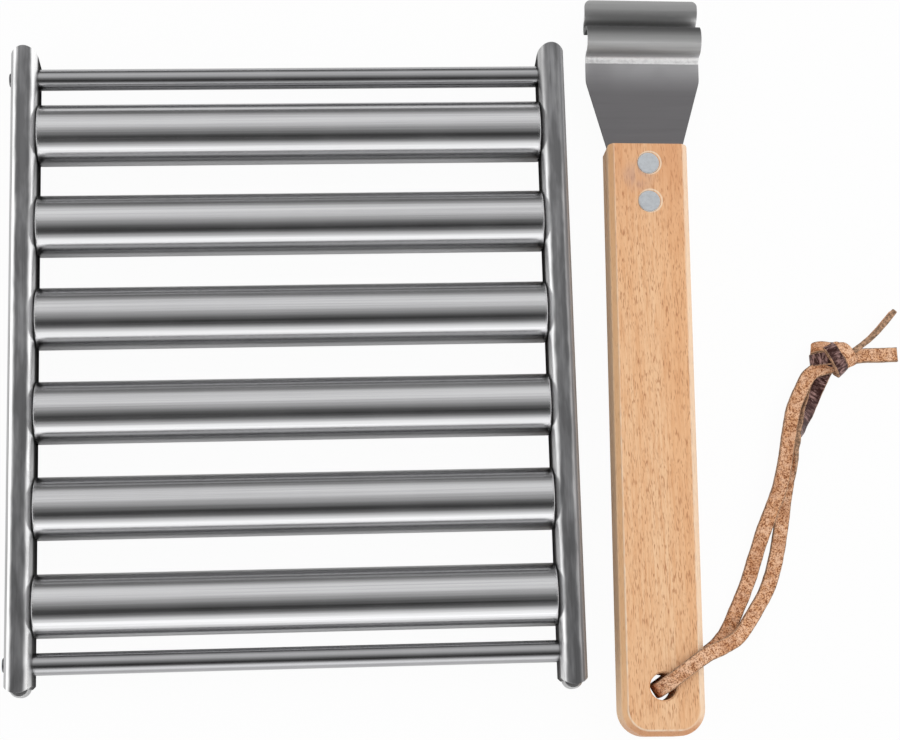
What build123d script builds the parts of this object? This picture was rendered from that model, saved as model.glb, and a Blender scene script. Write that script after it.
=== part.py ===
from build123d import *
from math import radians, sqrt, tan
import os

# Sausage roller rack with its loose hook handle lying beside it on a table.
# Millimetres, X to the right, Y away from the viewer, Z up, table at Z = 0.
# The rack is built about its own centre. At the end the whole set is moved so that
# the origin is the middle of its footprint, measured without the thong.

# Rollers
roller_count = 6
roller_diameter = 19.0
roller_pitch = 29.0
tube_length = 153.4
tube_wall = 0.8
cap_flange = 0.8
cap_edge_round = 0.4
cap_spigot_length = 4.0
cap_fit = 0.05
axle_diameter = 3.0
axle_past_wall = 1.6
axle_fit = 0.08
roller_end_play = 0.3

# Side rails, bent as an inverted U
rail_width = 8.0
rail_height = 13.6
rail_sheet = 1.0
rail_below_axle = 5.0
rail_end_radius = 5.0
rail_toe_back = 1.4
rail_toe_height = 7.0
far_rail_reach = 26.6
left_near_reach = 25.3
right_near_reach = 27.0

# Plugs welded into the rail ends
plug_height = 6.0
plug_lift = 0.5
plug_depth = 5.5
plug_proud = 1.3
plug_edge_round = 0.8

# End bars and the screws that hold them to the left rail
bar_diameter = 6.6
bar_above_axle = 0.5
far_bar_reach = 17.9
near_bar_reach = 17.0
bar_bore_depth = 10.0
bar_spigot_diameter = 4.0
bar_spigot_past = 0.6
screw_diameter = 3.0
screw_fit = 0.05
screw_in_bar = 8.0
screw_head_diameter = 4.4
screw_head_height = 1.0
screw_head_round = 0.45
screw_socket_flats = 2.0
screw_socket_depth = 0.6

# Wooden grip, measured from the middle of its far end, underside at Z = 0
grip_length = 182.5
grip_width = 25.0
grip_thickness = 14.0
grip_near_corner = 8.0
grip_far_corner = 0.8
grip_edge_bevel = 1.7
hang_hole_diameter = 8.0
hang_hole_from_end = 14.5
hang_hole_chamfer = 0.5
rivet_diameter = 4.8
rivet_fit = 0.05
rivet_head_diameter = 6.8
rivet_head_depth = 1.6
rivet_proud = 0.35
rivet_head_round = 0.3
rivet_back = 6.4
rivet_spacing = 12.3

# Hook plate, bent from one sheet
plate_sheet = 1.2
plate_height = 7.0
plate_tail = 28.3
plate_half_tail = 11.7
plate_half_front = 18.1
plate_flare_start = -0.4
plate_flare_end = 22.5
plate_flare_round = 8.0
plate_end_corner = 1.8
hook_reach = 31.1
hook_fit = 0.2
hump_rise = 7.0
hump_root_bend = 2.8
valley_drop = 2.8
valley_width = 3.2
valley_bend = 1.9
lip_rise = 3.7
lip_run = 2.1
lip_flat = 4.8
lip_bend = 3.0

# How close a place or a radius has to be for an edge or a corner to be picked
pick_tolerance = 0.01

# Where the handle lies
handle_gap = 7.5
handle_far_y = 66.8
handle_turn = -1.15
handle_tilt = -0.8

# Leather thong: a flat lace, its route measured from the hang hole's centre on the table
lace_width = 4.5
lace_thickness = 1.8
run_share = 0.45
over_route = [
    (-1.1, -0.8, 8.9),
    (-1.1, -0.8, 14.4),
    (1.5, 1.15, 17.8),
    (7.6, 5.5, 18.3),
    (13.2, 9.3, 17.7),
    (18.6, 12.2, 13.5),
    (23.4, 14.8, 8.1),
    (28.4, 18.7, 3.7),
    (32.6, 23.4, 1.65),
    (36.3, 29.2, 1.12),
    (39.3, 37.9, 1.12),
    (41.6, 48.6, 1.12),
    (43.3, 59.0, 1.12),
    (45.6, 69.0, 1.12),
    (50.2, 77.9, 1.12),
    (53.9, 85.6, 1.3),
    (57.8, 92.8, 2.2),
    (60.6, 97.6, 3.2),
]
under_route = [
    (-1.1, -0.8, 8.9),
    (-1.1, -0.8, 4.3),
    (1.65, 0.95, 1.05),
    (6.6, 4.1, 1.05),
    (11.2, 6.9, 1.05),
    (16.6, 10.1, 1.05),
    (21.2, 13.9, 1.05),
    (24.2, 18.8, 1.05),
    (27.2, 25.0, 1.05),
    (30.6, 31.6, 1.05),
    (33.2, 39.4, 1.1),
    (35.3, 45.6, 1.75),
    (37.9, 52.0, 3.45),
    (41.6, 60.1, 3.5),
    (44.4, 70.2, 3.45),
    (45.9, 77.6, 3.35),
    (48.0, 85.2, 3.0),
    (51.2, 92.6, 3.0),
    (54.9, 98.6, 3.3),
]
thin_tail_route = [
    (65.0, 103.3, 2.6),
    (69.6, 105.3, 2.45),
    (74.8, 109.2, 2.4),
    (80.9, 115.9, 2.4),
]
flat_tail_route = [
    (65.2, 99.8, 3.4),
    (69.6, 100.7, 2.3),
    (74.8, 101.3, 1.2),
    (81.8, 101.7, 1.0),
]
knot_centre = (59.8, 100.6)
knot_size = (13.3, 10.4, 6.5)
knot_turn = 20.0
knot_round = 2.9
knot_lift = 0.05

# Worked out from the sizes above
roller_radius = roller_diameter / 2
tube_bore_radius = roller_radius - tube_wall
axle_z = roller_radius
far_roller_y = (roller_count - 1) / 2 * roller_pitch
inner_half = tube_length / 2 + cap_flange + roller_end_play
rail_middle = inner_half + rail_width / 2
outer_half = inner_half + rail_width
rail_bottom = axle_z - rail_below_axle
rail_far_tip = far_roller_y + far_rail_reach
left_near_tip = -far_roller_y - left_near_reach
right_near_tip = -far_roller_y - right_near_reach
bar_z = axle_z + bar_above_axle
far_bar_y = far_roller_y + far_bar_reach
near_bar_y = -far_roller_y - near_bar_reach
hang_hole_y = -grip_length + hang_hole_from_end
rivet_places = [-rivet_back, -rivet_back - rivet_spacing]
hump_inner_width = bar_diameter + 2 * hook_fit
handle_x = outer_half + handle_gap + plate_half_front
handle_place = Pos(handle_x, handle_far_y, 0) * Rot(0, 0, handle_turn) * Rot(handle_tilt, 0, 0)
hang_hole = handle_place * Pos(0, hang_hole_y, 0)
thong_place = Pos(hang_hole.position.X, hang_hole.position.Y, 0)


def along_x(radius, start, end, y, z):
    """Round rod along X from start to end."""
    rod = Cylinder(radius, end - start, align=(Align.CENTER, Align.CENTER, Align.MIN))
    return Pos(start, y, z) * Rot(0, 90, 0) * rod


def roller_y(number):
    """Axle place of a roller, number 1 being the far one."""
    return far_roller_y - (number - 1) * roller_pitch


def roller_tube(y):
    half = tube_length / 2
    tube = along_x(roller_radius, -half, half, y, axle_z)
    return tube - along_x(tube_bore_radius, -half, half, y, axle_z)


def roller_cap(side, y):
    """End cap with its spigot and stub axle. side is -1 for the left and 1 for the right."""
    up = (Align.CENTER, Align.CENTER, Align.MIN)
    flange = Cylinder(roller_radius, cap_flange, align=up)
    flange = fillet(flange.edges().filter_by(GeomType.CIRCLE).sort_by(Axis.Z)[-1], cap_edge_round)
    spigot = Pos(0, 0, -cap_spigot_length) * Cylinder(
        tube_bore_radius - cap_fit, cap_spigot_length, align=up
    )
    axle_length = roller_end_play + rail_sheet + axle_past_wall
    axle = Pos(0, 0, cap_flange) * Cylinder(axle_diameter / 2, axle_length, align=up)
    cap = flange + spigot + axle
    return Pos(side * tube_length / 2, y, axle_z) * Rot(0, side * 90, 0) * cap


def channel_outline(inset, drop):
    """Inverted U, drawn about X = 0. inset is the sheet for the hollow, drop opens it downwards."""
    half = rail_width / 2 - inset
    low = rail_bottom - drop
    crown = rail_bottom + rail_height - rail_width / 2
    line = Polyline((half, crown), (half, low), (-half, low), (-half, crown))
    line += ThreePointArc((-half, crown), (0, crown + half), (half, crown))
    return make_face(line)


def end_rounded_plan(half_width, near_tip, far_tip, end_radius):
    """Plan outline of a strip along Y whose two ends are arcs."""
    sagitta = end_radius - sqrt(end_radius**2 - half_width**2)
    far = far_tip - sagitta
    near = near_tip + sagitta
    line = Line((half_width, near), (half_width, far))
    line += ThreePointArc((half_width, far), (0, far_tip), (-half_width, far))
    line += Line((-half_width, far), (-half_width, near))
    line += ThreePointArc((-half_width, near), (0, near_tip), (half_width, near))
    return make_face(line)


def rail(near_tip):
    """Rail without its holes, drawn about X = 0."""
    section = channel_outline(0, 0) - channel_outline(rail_sheet, rail_sheet)
    reach = max(rail_far_tip, -near_tip) + rail_width
    channel = extrude(Plane.XZ * section, amount=reach, both=True)
    plan = end_rounded_plan(rail_width / 2, near_tip, rail_far_tip, rail_end_radius)
    body = channel & extrude(plan, amount=rail_bottom + 2 * rail_height)
    sagitta = rail_end_radius - sqrt(rail_end_radius**2 - (rail_width / 2) ** 2)
    wall_end = rail_far_tip - sagitta
    toe = make_face(
        Polyline(
            (wall_end, rail_bottom + rail_toe_height),
            (wall_end - rail_toe_back, rail_bottom),
            (rail_far_tip + rail_width, rail_bottom),
            (rail_far_tip + rail_width, rail_bottom + rail_toe_height),
            close=True,
        )
    )
    return body - extrude(Plane.YZ * toe, amount=rail_width, both=True)


def wall_holes(side, radius, places):
    """Rods that cut holes through the inner wall of one rail."""
    inner = side * (inner_half - rail_sheet)
    outer = side * (inner_half + 2 * rail_sheet)
    return [along_x(radius, min(inner, outer), max(inner, outer), y, z) for y, z in places]


def left_rail():
    body = Pos(-rail_middle, 0, 0) * rail(left_near_tip)
    axles = [(roller_y(number), axle_z) for number in range(1, roller_count + 1)]
    for hole in wall_holes(-1, axle_diameter / 2 + axle_fit, axles):
        body -= hole
    for y in (far_bar_y, near_bar_y):
        body -= along_x(screw_diameter / 2 + screw_fit, -outer_half - 1, -inner_half + 1, y, bar_z)
    return body


def right_rail():
    body = Pos(rail_middle, 0, 0) * rail(right_near_tip)
    axles = [(roller_y(number), axle_z) for number in range(1, roller_count + 1)]
    for hole in wall_holes(1, axle_diameter / 2 + axle_fit, axles):
        body -= hole
    bars = [(far_bar_y, bar_z), (near_bar_y, bar_z)]
    for hole in wall_holes(1, bar_spigot_diameter / 2 + screw_fit, bars):
        body -= hole
    return body


def rail_plug(side, tip, way):
    """Plug in a rail end. way is 1 for a far end and -1 for a near end."""
    half = rail_width / 2 - rail_sheet
    apex = plug_proud
    line = Polyline((half, apex - half), (half, -plug_depth), (-half, -plug_depth), (-half, apex - half))
    line += ThreePointArc((-half, apex - half), (0, apex), (half, apex - half))
    body = extrude(make_face(line), amount=plug_height)
    nose = body.edges().filter_by(GeomType.CIRCLE)
    body = fillet(nose, plug_edge_round)
    turn = 0 if way > 0 else 180
    return Pos(side * rail_middle, tip, rail_bottom + plug_lift) * Rot(0, 0, turn) * body


def end_bar(y):
    bar = along_x(bar_diameter / 2, -inner_half, inner_half, y, bar_z)
    bore = along_x(screw_diameter / 2 + screw_fit, -inner_half, -inner_half + bar_bore_depth, y, bar_z)
    spigot_end = inner_half + rail_sheet + bar_spigot_past
    return bar - bore + along_x(bar_spigot_diameter / 2, inner_half, spigot_end, y, bar_z)


def bar_screw(y):
    up = (Align.CENTER, Align.CENTER, Align.MIN)
    head = Cylinder(screw_head_diameter / 2, screw_head_height, align=up)
    head = fillet(head.edges().filter_by(GeomType.CIRCLE).sort_by(Axis.Z)[-1], screw_head_round)
    socket = extrude(
        RegularPolygon(screw_socket_flats / 2, 6, major_radius=False), amount=screw_socket_depth
    )
    head -= Pos(0, 0, screw_head_height - screw_socket_depth) * socket
    shank_length = rail_width + screw_in_bar
    shank = Pos(0, 0, -shank_length) * Cylinder(screw_diameter / 2, shank_length, align=up)
    return Pos(-outer_half, y, bar_z) * Rot(0, -90, 0) * (head + shank)


def rivet_holes():
    """Shank holes and head recesses, cut from the grip."""
    up = (Align.CENTER, Align.CENTER, Align.MIN)
    cuts = []
    for y in rivet_places:
        cuts.append(Pos(0, y, 0) * Cylinder(rivet_diameter / 2 + rivet_fit, grip_thickness, align=up))
        recess = Cylinder(rivet_head_diameter / 2 + rivet_fit, rivet_head_depth, align=up)
        cuts.append(Pos(0, y, grip_thickness - rivet_head_depth) * recess)
        cuts.append(Pos(0, y, 0) * recess)
    return cuts


def handle_grip():
    body = Box(grip_width, grip_length, grip_thickness, align=(Align.CENTER, Align.MAX, Align.MIN))
    upright = body.edges().filter_by(Axis.Z).group_by(Axis.Y)
    body = fillet(upright[0], grip_near_corner)
    levels = body.edges().group_by(Axis.Z)
    rims = levels[0] + levels[-1]
    rims = rims.filter_by(lambda edge: edge.center().Y < -pick_tolerance)
    body = chamfer(rims, grip_edge_bevel)
    upright = body.edges().filter_by(Axis.Z).group_by(Axis.Y)
    body = fillet(upright[-1], grip_far_corner)
    slot = Box(2 * grip_width, plate_tail, plate_sheet, align=(Align.CENTER, Align.MAX, Align.CENTER))
    body -= Pos(0, 0, plate_height) * slot
    for cut in rivet_holes():
        body -= cut
    hole = Cylinder(hang_hole_diameter / 2, grip_thickness, align=(Align.CENTER, Align.CENTER, Align.MIN))
    body -= Pos(0, hang_hole_y, 0) * hole
    rims = body.edges().filter_by(GeomType.CIRCLE)
    rims = rims.filter_by(lambda edge: abs(edge.radius - hang_hole_diameter / 2) < pick_tolerance)
    rims = rims.filter_by(lambda edge: abs(edge.center().Y - hang_hole_y) < hang_hole_diameter / 2)
    return handle_place * chamfer(rims, hang_hole_chamfer)


def plate_plan():
    """Outline of the hook plate seen from above."""
    end = hook_end()
    plan = make_face(
        Polyline(
            (plate_half_tail, -plate_tail),
            (plate_half_tail, plate_flare_start),
            (plate_half_front, plate_flare_end),
            (plate_half_front, end),
            (-plate_half_front, end),
            (-plate_half_front, plate_flare_end),
            (-plate_half_tail, plate_flare_start),
            (-plate_half_tail, -plate_tail),
            close=True,
        )
    )
    corners = plan.vertices().group_by(Axis.Y)
    plan = fillet(corners[-1], plate_end_corner)
    corners = plan.vertices().filter_by(lambda corner: abs(corner.Y - plate_flare_end) < pick_tolerance)
    plan = fillet(corners, plate_flare_round)
    corners = plan.vertices().filter_by(lambda corner: abs(corner.Y - plate_flare_start) < pick_tolerance)
    return fillet(corners, plate_flare_round)


def hook_end():
    """How far the lip's edge is from the grip's end."""
    return hook_reach + hump_inner_width + plate_sheet + valley_width + lip_run + lip_flat


def plate_profile():
    """Middle line of the sheet, seen from the side: flat, half-round hump, valley, lip."""
    hump_radius = (hump_inner_width + plate_sheet) / 2
    hump_end = hook_reach + 2 * hump_radius
    crown = plate_height + hump_rise
    shoulder = crown - hump_radius
    valley = plate_height - valley_drop
    valley_end = hump_end + valley_width
    flat = FilletPolyline(
        (-plate_tail, plate_height),
        (hook_reach, plate_height),
        (hook_reach, shoulder),
        radius=hump_root_bend,
    )
    hump = ThreePointArc((hook_reach, shoulder), (hook_reach + hump_radius, crown), (hump_end, shoulder))
    lip = FilletPolyline(
        (hump_end, shoulder),
        (hump_end, valley),
        (valley_end, valley),
        (valley_end + lip_run, valley + lip_rise),
        (hook_end(), valley + lip_rise),
        radius=[valley_bend, valley_bend, lip_bend],
    )
    return flat + hump + lip


def hook_plate():
    band = trace(plate_profile(), plate_sheet)
    sheet = extrude(Plane.YZ * band, amount=2 * plate_half_front, both=True)
    body = sheet & extrude(plate_plan(), amount=plate_height + 2 * hump_rise)
    for y in rivet_places:
        body -= Pos(0, y, plate_height) * Cylinder(rivet_diameter / 2 + rivet_fit, 2 * plate_sheet)
    return handle_place * body


def rivet(y):
    """Solid rivet: domed head on top, flush head underneath."""
    up = (Align.CENTER, Align.CENTER, Align.MIN)
    shank = Cylinder(rivet_diameter / 2, grip_thickness, align=up)
    foot = Cylinder(rivet_head_diameter / 2, rivet_head_depth, align=up)
    head = Cylinder(rivet_head_diameter / 2, rivet_head_depth + rivet_proud, align=up)
    head = fillet(head.edges().filter_by(GeomType.CIRCLE).sort_by(Axis.Z)[-1], rivet_head_round)
    body = shank + foot + Pos(0, 0, grip_thickness - rivet_head_depth) * head
    return handle_place * Pos(0, y, 0) * body


def lace_radii(route):
    """One bend radius for each inner point, from the shorter run beside it."""
    points = [Vector(*point) for point in route]
    radii = []
    for before, here, after in zip(points, points[1:], points[2:]):
        turn = (here - before).get_angle(after - here)
        shorter = min((here - before).length, (after - here).length)
        radii.append(run_share * shorter / tan(radians(turn / 2)))
    return radii


def lace(name, route, across, width, thickness):
    """Flat strap along a route. across is the direction of its width at the start."""
    radii = lace_radii(route)
    path = FilletPolyline(*route, radius=radii)
    start = Plane(origin=route[0], x_dir=across, z_dir=Vector(*route[1]) - Vector(*route[0]))
    strap = sweep(start * Rectangle(width, thickness), path=path)
    print(name, "radii", [round(radius, 1) for radius in radii])
    print(name, "length", round(path.length, 2), "volume", round(strap.volume, 2),
          "section times length", round(width * thickness * path.length, 2))
    return thong_place * strap


def thong_knot():
    size_x, size_y, size_z = knot_size
    body = Box(size_x, size_y, size_z, align=(Align.CENTER, Align.CENTER, Align.MIN))
    body = fillet(body.edges(), knot_round)
    return thong_place * Pos(*knot_centre, knot_lift) * Rot(0, 0, knot_turn) * body


def rack_parts():
    parts = {"left_rail": left_rail(), "right_rail": right_rail()}
    parts["left_far_plug"] = rail_plug(-1, rail_far_tip, 1)
    parts["left_near_plug"] = rail_plug(-1, left_near_tip, -1)
    parts["right_far_plug"] = rail_plug(1, rail_far_tip, 1)
    parts["right_near_plug"] = rail_plug(1, right_near_tip, -1)
    parts["far_end_bar"] = end_bar(far_bar_y)
    parts["near_end_bar"] = end_bar(near_bar_y)
    parts["far_bar_screw"] = bar_screw(far_bar_y)
    parts["near_bar_screw"] = bar_screw(near_bar_y)
    for number in range(1, roller_count + 1):
        y = roller_y(number)
        parts[f"roller_{number}_tube"] = roller_tube(y)
        parts[f"roller_{number}_left_cap"] = roller_cap(-1, y)
        parts[f"roller_{number}_right_cap"] = roller_cap(1, y)
    return parts


def handle_parts():
    return {
        "handle_grip": handle_grip(),
        "hook_plate": hook_plate(),
        "front_rivet": rivet(rivet_places[0]),
        "rear_rivet": rivet(rivet_places[1]),
    }


def thong_parts():
    hole_across = (-0.5, 0.866, 0)
    tail_across = (-0.4, 0.92, 0)
    flat_across = (-0.2, 0.98, 0)
    return {
        "thong_over_strand": lace("over strand", over_route, hole_across, lace_width, lace_thickness),
        "thong_under_strand": lace("under strand", under_route, hole_across, lace_width, lace_thickness),
        "thong_thin_tail": lace("thin tail", thin_tail_route, tail_across, lace_thickness, lace_width),
        "thong_flat_tail": lace("flat tail", flat_tail_route, flat_across, lace_width, lace_thickness),
        "thong_knot": thong_knot(),
    }


def footprint_shift(parts):
    """Move that brings the middle of the footprint to the origin."""
    boxes = [solid.bounding_box() for solid in parts.values()]
    middle_x = (min(box.min.X for box in boxes) + max(box.max.X for box in boxes)) / 2
    middle_y = (min(box.min.Y for box in boxes) + max(box.max.Y for box in boxes)) / 2
    return Pos(-middle_x, -middle_y, -min(box.min.Z for box in boxes))


def main():
    os.makedirs("parts", exist_ok=True)
    hard_parts = {**rack_parts(), **handle_parts()}
    shift = footprint_shift(hard_parts)
    print("shift", shift.position)
    print("roller axles y", [round(roller_y(n) + shift.position.Y, 4) for n in range(1, roller_count + 1)])
    print("axle z", axle_z + shift.position.Z, "bar y", far_bar_y + shift.position.Y,
          near_bar_y + shift.position.Y)
    print("hang hole", (shift * thong_place).position)
    for name, solid in {**hard_parts, **thong_parts()}.items():
        export_step(shift * solid, f"parts/{name}.step")


main()
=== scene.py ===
import math

import bmesh
import bpy
from mathutils import Matrix, Vector, noise


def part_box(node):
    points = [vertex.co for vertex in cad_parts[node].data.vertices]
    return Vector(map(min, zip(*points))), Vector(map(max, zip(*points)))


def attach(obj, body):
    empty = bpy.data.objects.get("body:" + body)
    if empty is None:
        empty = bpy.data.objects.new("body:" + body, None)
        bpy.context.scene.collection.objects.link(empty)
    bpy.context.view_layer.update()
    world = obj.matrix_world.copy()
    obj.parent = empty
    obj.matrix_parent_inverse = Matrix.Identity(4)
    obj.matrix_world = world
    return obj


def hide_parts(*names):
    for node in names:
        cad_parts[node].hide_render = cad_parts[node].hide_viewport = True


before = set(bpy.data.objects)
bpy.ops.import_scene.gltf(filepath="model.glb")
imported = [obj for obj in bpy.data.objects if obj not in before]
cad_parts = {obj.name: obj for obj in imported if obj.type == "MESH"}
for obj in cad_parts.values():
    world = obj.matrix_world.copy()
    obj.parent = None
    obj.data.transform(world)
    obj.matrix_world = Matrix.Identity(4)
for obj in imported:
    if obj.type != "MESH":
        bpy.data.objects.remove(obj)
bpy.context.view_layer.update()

bl_info = {
    "name": "Sausage Roller Rack",
    "version": (1, 0, 0),
    "blender": (4, 5, 0),
    "location": "3D View > Sidebar > Roller Rack",
    "description": "Finishes, leather thong and studio for the sausage roller rack and its handle",
    "category": "Object",
}

MM = 0.001
DEGREE = math.pi / 180

# Centre of the grip's hang hole on the table
HANG_HOLE = Vector((0.0862014, -0.101611, 0.0))

# Routes of the thong's free pieces, measured from the hang hole, in millimetres
OVER_ROUTE = [
    (-1.1, -0.8, 8.9),
    (-1.1, -0.8, 14.4),
    (1.5, 1.15, 17.8),
    (7.6, 5.5, 18.3),
    (13.2, 9.3, 17.7),
    (19.4, 11.5, 13.1),
    (25.1, 14.3, 7.4),
    (29.3, 19, 3.4),
    (32.8, 23.8, 1.6),
    (36.3, 29.2, 1.12),
    (39.3, 37.9, 1.12),
    (41.6, 48.6, 1.12),
    (43.2, 58.5, 1.15),
    (45.2, 67, 2.2),
    (47.1, 73.5, 2.8),
    (49.2, 78.5, 2.7),
    (52.5, 85.8, 2.1),
    (55.8, 92.5, 1.5),
    (58, 96.6, 1.4),
    (60.2, 99.6, 1.7),
]
UNDER_ROUTE = [
    (-1.1, -0.8, 8.9),
    (-1.1, -0.8, 4.3),
    (1.65, 0.95, 1.05),
    (6.6, 4.1, 1.05),
    (11.2, 6.9, 1.05),
    (16.6, 10.1, 1.05),
    (21.2, 13.9, 1.05),
    (24.2, 18.8, 1.05),
    (27.2, 25, 1.05),
    (30.3, 31.6, 1.05),
    (32.8, 38.8, 1.1),
    (35.2, 45.6, 1.75),
    (37.7, 52, 3.4),
    (40.5, 58.5, 4.9),
    (42.6, 66, 5.5),
    (44.1, 73.5, 5.2),
    (45.5, 79.5, 4.2),
    (47.2, 85.8, 3.6),
    (50.8, 92.7, 3.4),
    (52.8, 95.7, 3.4),
    (55.3, 97.1, 3.5),
    (58.2, 97.8, 3.5),
    (61, 98.4, 3.3),
]
THIN_TAIL_ROUTE = [
    (65.2, 101.5, 3.1),
    (70.4, 104.8, 2.6),
    (75.8, 109.2, 2.6),
    (81.2, 115.5, 2.6),
]
FLAT_TAIL_ROUTE = [
    (65, 100.8, 3.6),
    (69.8, 101.6, 2.5),
    (74.8, 101.8, 1.3),
    (81.8, 102, 1),
]

# Where the strand over the grip turns over: millimetres past the hang hole, and its turn in degrees
OVER_TWIST = [
    (60, 0),
    (67, -30),
    (73.5, -82),
    (79, -122),
    (85, -152),
    (92, -178),
]

# The knot's turns: the direction of each one's width, its width and its route in millimetres
KNOT_TURNS = {
    "thong_knot_left_turn": ((0.14, -1, 0), 4.2, [
        (61.2, 100.7, 4.9),
        (58.6, 100.5, 5.5),
        (55.6, 100.2, 5.3),
        (54.1, 100, 3.7),
        (54.1, 100.1, 1.9),
        (56, 100.3, 1.3),
        (58.6, 100.5, 1.2),
    ]),
    "thong_knot_far_turn": ((0.1, -1, 0), 3.6, [
        (56.6, 103.5, 1.2),
        (54.9, 103.7, 1.6),
        (54.6, 103.9, 3.1),
        (55.6, 104.1, 4.7),
        (57.6, 104.1, 5.3),
        (59.8, 103.6, 4.7),
        (60.6, 103.2, 3.6),
    ]),
    "thong_knot_right_turn": ((-0.84, -0.54, 0), 4.4, [
        (61.7, 104.3, 1.7),
        (62.3, 104.4, 3.5),
        (63.8, 103.4, 5.2),
        (65.2, 101.2, 5.4),
        (66.1, 99.3, 4.5),
        (66.1, 98.4, 3.2),
        (64.8, 98.6, 2.4),
    ]),
    "thong_knot_inner_turn": ((-0.88, -0.47, 0), 3.6, [
        (60, 104.6, 1.6),
        (60.4, 104.9, 3.4),
        (61.6, 104.1, 5.4),
        (63.4, 101.4, 5.8),
        (64.7, 99.1, 4.8),
        (65.2, 98, 3.4),
        (64.2, 98.2, 2.2),
    ]),
    "thong_knot_top_turn": ((0.92, 0.4, 0), 4.4, [
        (58, 104.3, 1.5),
        (58.4, 104.7, 3.4),
        (59.1, 104, 5.8),
        (60.6, 100.8, 7),
        (62.2, 97.8, 6.3),
        (63.2, 96.4, 4.5),
        (63.3, 96.4, 2.7),
        (62.4, 97.6, 1.8),
    ]),
}

# Rounded core inside the knot: its place past the hang hole in millimetres, its size and its lumps
KNOT_CORE_PLACE = (60.3, 100.4, 2.8)
KNOT_CORE_SIZE = (9.8 * MM, 7.0 * MM, 4.6 * MM)
KNOT_CORE_LUMPS = 0.12
KNOT_CORE_LUMP_COUNT = 3.2

# How thin the knot's turns are beside the free lace, and how far the edges of laces waver
KNOT_TURN_THINNING = 0.85
KNOT_TURN_WAVER = 0.09
LACE_WAVER = 0.05

# Where the lace's width points as it leaves the hang hole, and a lace without a turn of its own
HOLE_ACROSS = (0.5, -0.866, 0)
UNTURNED = ((0.0, 0.0), (1.0, 0.0))

# Face numbers of the lace's three materials
SUEDE, GRAIN, EDGE = range(3)

# One step of a lace's mesh, and its eased rim, hollow and thick places as shares of its thickness
LACE_STEP = 0.6 * MM
LACE_RIM = 0.16
LACE_HOLLOW = 0.05
LACE_SWELL = 0.1

# Wavers of a lace's edge: their counts to the metre along and across it, and the finer ones on them
WAVER_ALONG = 260
WAVER_ACROSS = 90
FINE_WAVER_COUNT = 3.1
FINE_WAVER_SHARE = 0.6

# How flat a line runs where a lace begins to level itself, and how fast it does
LEVEL_FROM = 0.6
LEVEL_RATE = 0.25

# Units of a lace's UV map to the metre
UV_SCALE = 100

ROLLERS = range(1, 7)
RAILS = ("left_rail", "right_rail")
PLUGS = ("left_far_plug", "left_near_plug", "right_far_plug", "right_near_plug")
BARS = ("far_end_bar", "near_end_bar")
SCREWS = ("far_bar_screw", "near_bar_screw")
RIVETS = ("front_rivet", "rear_rivet")

# Marks to the metre along X, Y and Z in the grain of each metal
ROLLER_LINES = (6, 1400, 1400)
BAR_LINES = (5, 1200, 1200)
PLUG_MARKS = (500, 500, 500)
GROUND_MARKS = (900, 900, 900)
RIVET_MARKS = (700, 700, 700)
RAIL_LINES = (1400, 30, 1400)
RAIL_PATCHES = (260, 55, 260)
PLATE_LINES = (40, 1500, 1500)

# The same in the beech, with the flecks' count across the grain
BEECH_BANDS = (160, 6, 160)
BEECH_LINES = (1700, 90, 1700)
BEECH_GAPS = (700, 200, 700)
FLECKS_ACROSS = 3500

# How far the middle of a rail's satin crown, painted darker than its flanks, lies inward, where its edge
# fades and how far that wanders
CROWN_SHIFT = 0.3 * MM
CROWN_EDGE = (1.5 * MM, 2.9 * MM)
CROWN_WANDER = 0.4 * MM

# Fades across a rail, from its middle towards the rollers: outer wall, outer flank, where the right rail gets
# the handle's painted reflection, and inner wall
OUTER_WALL_FADE = (-3.1 * MM, -2.75 * MM)
OUTER_FLANK_FADE = (-2.4 * MM, -1.2 * MM)
INNER_WALL_FADE = (2.6 * MM, 3.2 * MM)

# Fades along the rails: the right rail's flank darkening towards its far end, and the near end, where painted
# light lifts the inner walls
FAR_END_FADE = (50 * MM, 83 * MM)
WALL_LIFT_FADE = (-90 * MM, -30 * MM)
WALL_LIFT_GREY = (0.6, 0.6, 0.6, 1.0)

# Painted shade on a rail's inner wall: how far it keeps its brightness, by the height in millimetres, darker
# towards its foot
WALL_SHADE_LEVELS = [(4.5, 0.01), (9.5, 0.1), (13.0, 0.3), (14.4, 1.0)]

# The handle's turn on the table, taken back for patterns that follow its grain
HANDLE_TURN = (0, 0, 1.15 * DEGREE)

# Size of the grip, its near corners and its bevel, as cut in the wood
GRIP_WIDTH = 25.0 * MM
GRIP_LENGTH = 182.5 * MM
GRIP_CORNER = 8.0 * MM
GRIP_BEVEL = 1.7 * MM

# Spots on the grip from its middle, to the right and towards its near end: the rings of painted highlight
# round the rivets, their radius, and the stain beside the front rivet
RIVET_RINGS = [(0.3 * MM, past_end - GRIP_LENGTH / 2) for past_end in (6.2 * MM, 18.5 * MM)]
RIVET_RING_RADIUS = 3.6 * MM
STAIN_PLACE = (-3.5 * MM, 10.5 * MM - GRIP_LENGTH / 2)

# Fades on the grip, along it: where it is warmer, where the painted highlight on its ridges grows, and the
# end grain, darkened by painted shade
WARM_FADE = (-90 * MM, -55 * MM)
RIDGE_HIGHLIGHT_FADE = (-60 * MM, 60 * MM)
END_GRAIN_AND_SHADE_FADE = (GRIP_LENGTH / 2 - 6 * MM, GRIP_LENGTH / 2 - 2 * MM)

# Fades across it: its lit side with painted highlight, and its bevels and walls, painted lighter, by the
# distance outside its outline
LIT_SIDE_FADE = (8 * MM, 11 * MM)
BEVEL_FADE = (-GRIP_BEVEL, 0.3 * MM - GRIP_BEVEL)
GRIP_WALL_FADE = (-0.35 * MM, -0.15 * MM)

# Fades beside the painted highlight on a ridge, beside a rivet's painted ring and from the middle of the
# stain
RIDGE_FADE = (0.05 * MM, 0.4 * MM)
RING_FADE = (0.1 * MM, 0.4 * MM)
STAIN_FADE = (1.5 * MM, 7 * MM)
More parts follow.
